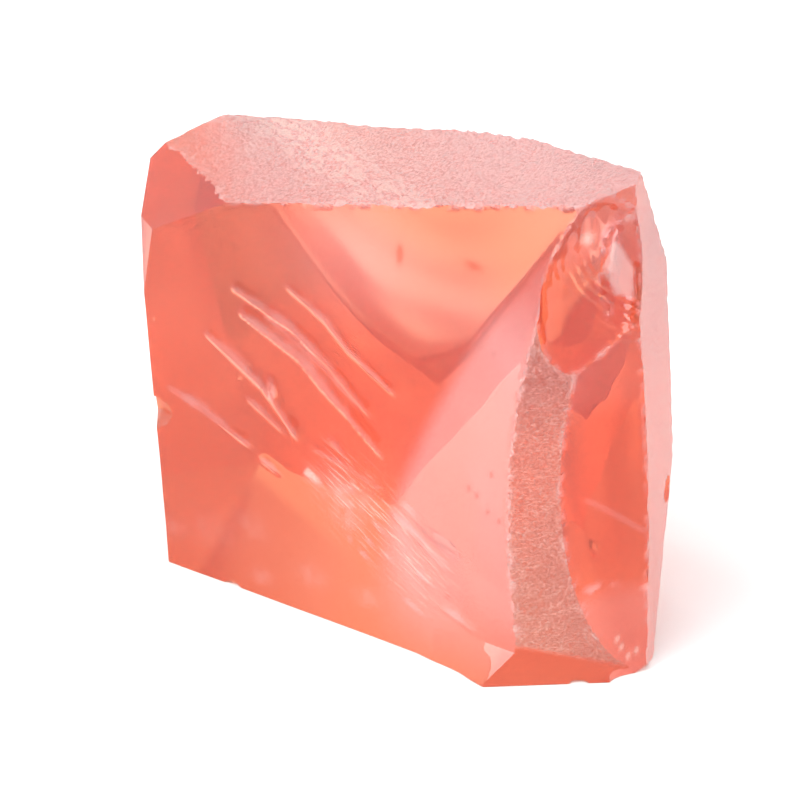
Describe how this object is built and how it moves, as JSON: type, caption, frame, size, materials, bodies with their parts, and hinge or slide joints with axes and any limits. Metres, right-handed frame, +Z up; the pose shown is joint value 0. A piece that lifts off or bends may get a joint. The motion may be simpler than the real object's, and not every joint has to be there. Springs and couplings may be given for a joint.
{
  "type": "rough gem crystal",
  "caption": "Rough see-through pink-orange gem crystal: a broken and sawn block that rests on its flat base.",
  "frame": {"origin": "middle of the bounding box, on the flat base that the crystal rests on", "axes": "+Z up from the sawn base; -Y towards the narrow sawn strip and its recess; the broad fracture face looks to -X and -Y"},
  "size_m": [0.039, 0.0402, 0.0376],
  "materials": {
    "crystal": "see-through pink-orange beryl with clear fracture faces and frosted or sawn faces"
  },
  "bodies": {
    "root": {"crystal": "crystal"}
  },
  "joints": []
}
